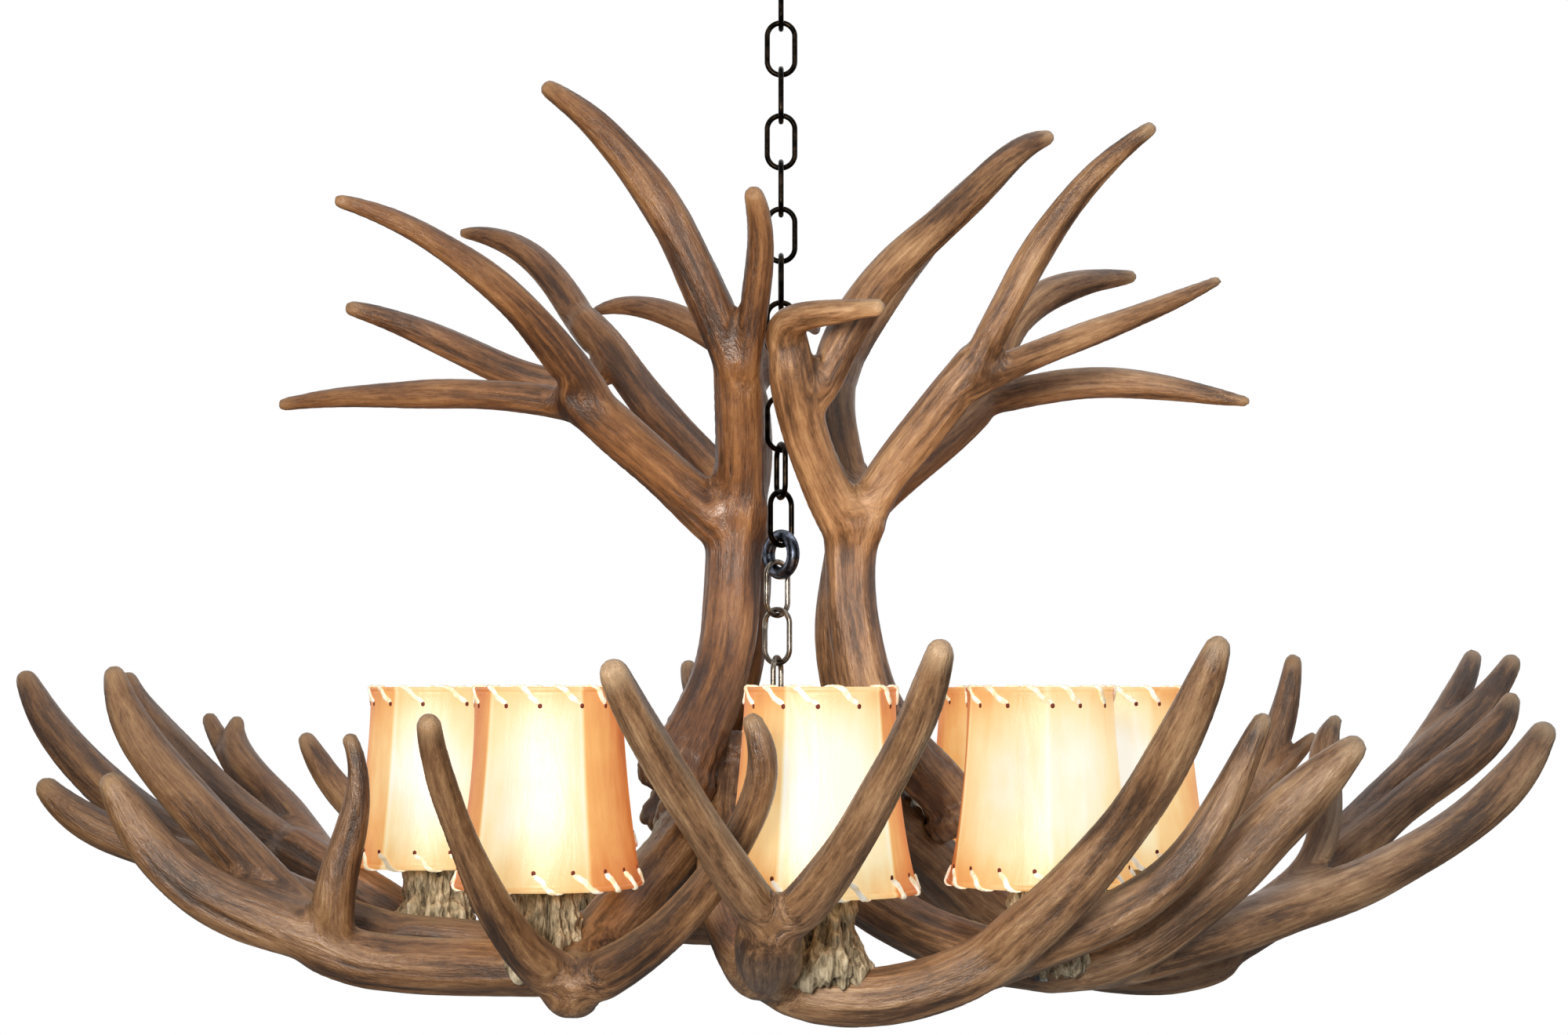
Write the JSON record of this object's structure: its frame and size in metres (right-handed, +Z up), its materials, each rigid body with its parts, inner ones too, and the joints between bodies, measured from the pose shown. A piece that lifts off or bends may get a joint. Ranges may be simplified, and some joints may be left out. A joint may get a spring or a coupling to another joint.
{
  "type": "antler chandelier",
  "caption": "Chain-hung chandelier of branching cast antlers, a wide ring below and a crown above, with candle lamps in tapered rawhide shades.",
  "frame": {"origin": "middle of the canopy's ceiling face, on the line of the two outlet box screws", "axes": "+Z up out of the ceiling face, +X to the viewer's right, +Y away from the viewer"},
  "size_m": [1.0187, 0.8846, 0.7662],
  "materials": {
    "antler_resin": "cast resin stained milk-chocolate brown with tan streaks and worn cream tips",
    "bark_resin": "cast resin bark, rough and dull",
    "rawhide": "rawhide stretched and dried over a wire frame, cream to amber",
    "frame_wire": "drawn steel wire, dull",
    "dark_bronze": "dark bronze paint, satin",
    "bright_nickel": "bright nickel plate with a warm cast",
    "eye_steel": "blue-grey zinc plate, dull",
    "zinc_steel": "zinc plated steel",
    "green_screw": "green grounding screw",
    "socket_phenolic": "black phenolic candelabra socket",
    "bulb_glass": "frosted warm bulb glass"
  },
  "bodies": {
    "ceiling_plate": {"ceiling_canopy": "dark_bronze", "canopy_crossbar": "zinc_steel", "crossbar_nipple": "zinc_steel", "nipple_locknut": "zinc_steel", "ground_screw": "green_screw"},
    "canopy_loop": {"canopy_loop": "dark_bronze"},
    "chain_link_01": {"chain_link_01": "dark_bronze"},
    "chain_link_02": {"chain_link_02": "dark_bronze"},
    "chain_link_03": {"chain_link_03": "dark_bronze"},
    "chain_link_04": {"chain_link_04": "dark_bronze"},
    "chain_link_05": {"chain_link_05": "dark_bronze"},
    "chain_link_06": {"chain_link_06": "dark_bronze"},
    "chain_link_07": {"chain_link_07": "dark_bronze"},
    "chain_link_08": {"chain_link_08": "dark_bronze"},
    "chain_link_09": {"chain_link_09": "dark_bronze"},
    "chain_link_10": {"chain_link_10": "dark_bronze"},
    "chain_link_11": {"chain_link_11": "dark_bronze"},
    "chain_link_12": {"chain_link_12": "dark_bronze"},
    "chain_link_13": {"chain_link_13": "dark_bronze"},
    "chandelier": {"upper_antler_front_left": "antler_resin", "upper_antler_front_right": "antler_resin", "upper_antler_rear_left": "antler_resin", "upper_antler_rear_right": "antler_resin", "ring_antler_front_right": "antler_resin", "ring_antler_front_left": "antler_resin", "ring_antler_right_front": "antler_resin", "ring_antler_right": "antler_resin", "ring_antler_left_rear": "antler_resin", "ring_antler_left_front": "antler_resin", "ring_antler_rear_left": "antler_resin", "ring_antler_rear_right": "antler_resin", "eye_bolt": "eye_steel", "eye_bolt_nut": "eye_steel", "wiring_hub": "antler_resin", "hub_cover": "antler_resin", "hub_cover_screws": "zinc_steel", "bark_cups": "bark_resin", "lamp_sockets": "socket_phenolic", "socket_nipples": "zinc_steel", "bulbs": "bulb_glass", "antler_screws": "zinc_steel"},
    "spare_link_1": {"spare_link_1": "bright_nickel"},
    "spare_link_2": {"spare_link_2": "bright_nickel"},
    "spare_link_3": {"spare_link_3": "bright_nickel"},
    "shade_1": {"shade_1": "rawhide", "shade_frame_1": "frame_wire"},
    "shade_2": {"shade_2": "rawhide", "shade_frame_2": "frame_wire"},
    "shade_3": {"shade_3": "rawhide", "shade_frame_3": "frame_wire"},
    "shade_4": {"shade_4": "rawhide", "shade_frame_4": "frame_wire"},
    "shade_5": {"shade_5": "rawhide", "shade_frame_5": "frame_wire"},
    "shade_6": {"shade_6": "rawhide", "shade_frame_6": "frame_wire"},
    "shade_7": {"shade_7": "rawhide", "shade_frame_7": "frame_wire"},
    "shade_8": {"shade_8": "rawhide", "shade_frame_8": "frame_wire"}
  },
  "joints": [
    {"name": "loop_turn", "type": "hinge", "parent": "ceiling_plate", "child": "canopy_loop", "pos_m": [0, 0, -0.05], "axis": [0, 0, 1], "range_deg": [-30, 30]},
    {"name": "link_01_swing", "type": "hinge", "parent": "canopy_loop", "child": "chain_link_01", "pos_m": [0, 0, -0.062], "axis": [0, 1, 0], "range_deg": [-6, 6]},
    {"name": "link_02_swing", "type": "hinge", "parent": "chain_link_01", "child": "chain_link_02", "pos_m": [0, 0, -0.0931], "axis": [1, 0, 0], "range_deg": [-6, 6]},
    {"name": "link_03_swing", "type": "hinge", "parent": "chain_link_02", "child": "chain_link_03", "pos_m": [0, 0, -0.1246], "axis": [0, -1, 0], "range_deg": [-6, 6]},
    {"name": "link_04_swing", "type": "hinge", "parent": "chain_link_03", "child": "chain_link_04", "pos_m": [0, 0, -0.1561], "axis": [-1, 0, 0], "range_deg": [-6, 6]},
    {"name": "link_05_swing", "type": "hinge", "parent": "chain_link_04", "child": "chain_link_05", "pos_m": [0, 0, -0.1876], "axis": [0, 1, 0], "range_deg": [-6, 6]},
    {"name": "link_06_swing", "type": "hinge", "parent": "chain_link_05", "child": "chain_link_06", "pos_m": [0, 0, -0.2191], "axis": [1, 0, 0], "range_deg": [-6, 6]},
    {"name": "link_07_swing", "type": "hinge", "parent": "chain_link_06", "child": "chain_link_07", "pos_m": [0, 0, -0.2506], "axis": [0, -1, 0], "range_deg": [-6, 6]},
    {"name": "link_08_swing", "type": "hinge", "parent": "chain_link_07", "child": "chain_link_08", "pos_m": [0, 0, -0.2821], "axis": [-1, 0, 0], "range_deg": [-6, 6]},
    {"name": "link_09_swing", "type": "hinge", "parent": "chain_link_08", "child": "chain_link_09", "pos_m": [0, 0, -0.3136], "axis": [-0.0174, 0.9998, 0], "range_deg": [-6, 6]},
    {"name": "link_10_swing", "type": "hinge", "parent": "chain_link_09", "child": "chain_link_10", "pos_m": [0, 0, -0.3451], "axis": [0.9986, 0.0523, 0], "range_deg": [-6, 6]},
    {"name": "link_11_swing", "type": "hinge", "parent": "chain_link_10", "child": "chain_link_11", "pos_m": [0, 0, -0.3766], "axis": [0.0872, -0.9962, 0], "range_deg": [-6, 6]},
    {"name": "link_12_swing", "type": "hinge", "parent": "chain_link_11", "child": "chain_link_12", "pos_m": [0, 0, -0.4081], "axis": [-0.9781, -0.2079, 0], "range_deg": [-6, 6]},
    {"name": "link_13_swing", "type": "hinge", "parent": "chain_link_12", "child": "chain_link_13", "pos_m": [0, 0, -0.4396], "axis": [-0.309, 0.9511, 0], "range_deg": [-6, 6]},
    {"name": "chandelier_swing", "type": "hinge", "parent": "chain_link_13", "child": "chandelier", "pos_m": [0, 0, -0.4711], "axis": [0.7547, 0.6561, 0], "range_deg": [-6, 6]},
    {"name": "spare_link_1_swing", "type": "hinge", "parent": "chandelier", "child": "spare_link_1", "pos_m": [-0.00519, 0.00605, -0.4867], "axis": [-0.6508, 0.7593, 0], "range_deg": [-15, 15]},
    {"name": "spare_link_2_swing", "type": "hinge", "parent": "spare_link_1", "child": "spare_link_2", "pos_m": [-0.00255, 0.00298, -0.51727], "axis": [0.7547, 0.6561, 0], "range_deg": [-20, 20]},
    {"name": "spare_link_3_swing", "type": "hinge", "parent": "spare_link_2", "child": "spare_link_3", "pos_m": [-0.00255, 0.00298, -0.54877], "axis": [-0.8829, 0.4695, 0], "range_deg": [-20, 20]},
    {"name": "shade_1_turn", "type": "hinge", "parent": "chandelier", "child": "shade_1", "pos_m": [0.02302, -0.21316, -0.6152], "axis": [0, 0, 1], "continuous": true},
    {"name": "shade_2_turn", "type": "hinge", "parent": "chandelier", "child": "shade_2", "pos_m": [0.15353, -0.15369, -0.6152], "axis": [0, 0, 1], "continuous": true},
    {"name": "shade_3_turn", "type": "hinge", "parent": "chandelier", "child": "shade_3", "pos_m": [0.2254, 0.0116, -0.6152], "axis": [0, 0, 1], "continuous": true},
    {"name": "shade_4_turn", "type": "hinge", "parent": "chandelier", "child": "shade_4", "pos_m": [0.15921, 0.17141, -0.6152], "axis": [0, 0, 1], "continuous": true},
    {"name": "shade_5_turn", "type": "hinge", "parent": "chandelier", "child": "shade_5", "pos_m": [-0.00849, 0.23746, -0.6152], "axis": [0, 0, 1], "continuous": true},
    {"name": "shade_6_turn", "type": "hinge", "parent": "chandelier", "child": "shade_6", "pos_m": [-0.16041, 0.17141, -0.6152], "axis": [0, 0, 1], "continuous": true},
    {"name": "shade_7_turn", "type": "hinge", "parent": "chandelier", "child": "shade_7", "pos_m": [-0.22646, 0.00371, -0.6152], "axis": [0, 0, 1], "continuous": true},
    {"name": "shade_8_turn", "type": "hinge", "parent": "chandelier", "child": "shade_8", "pos_m": [-0.13661, -0.16889, -0.6152], "axis": [0, 0, 1], "continuous": true}
  ]
}
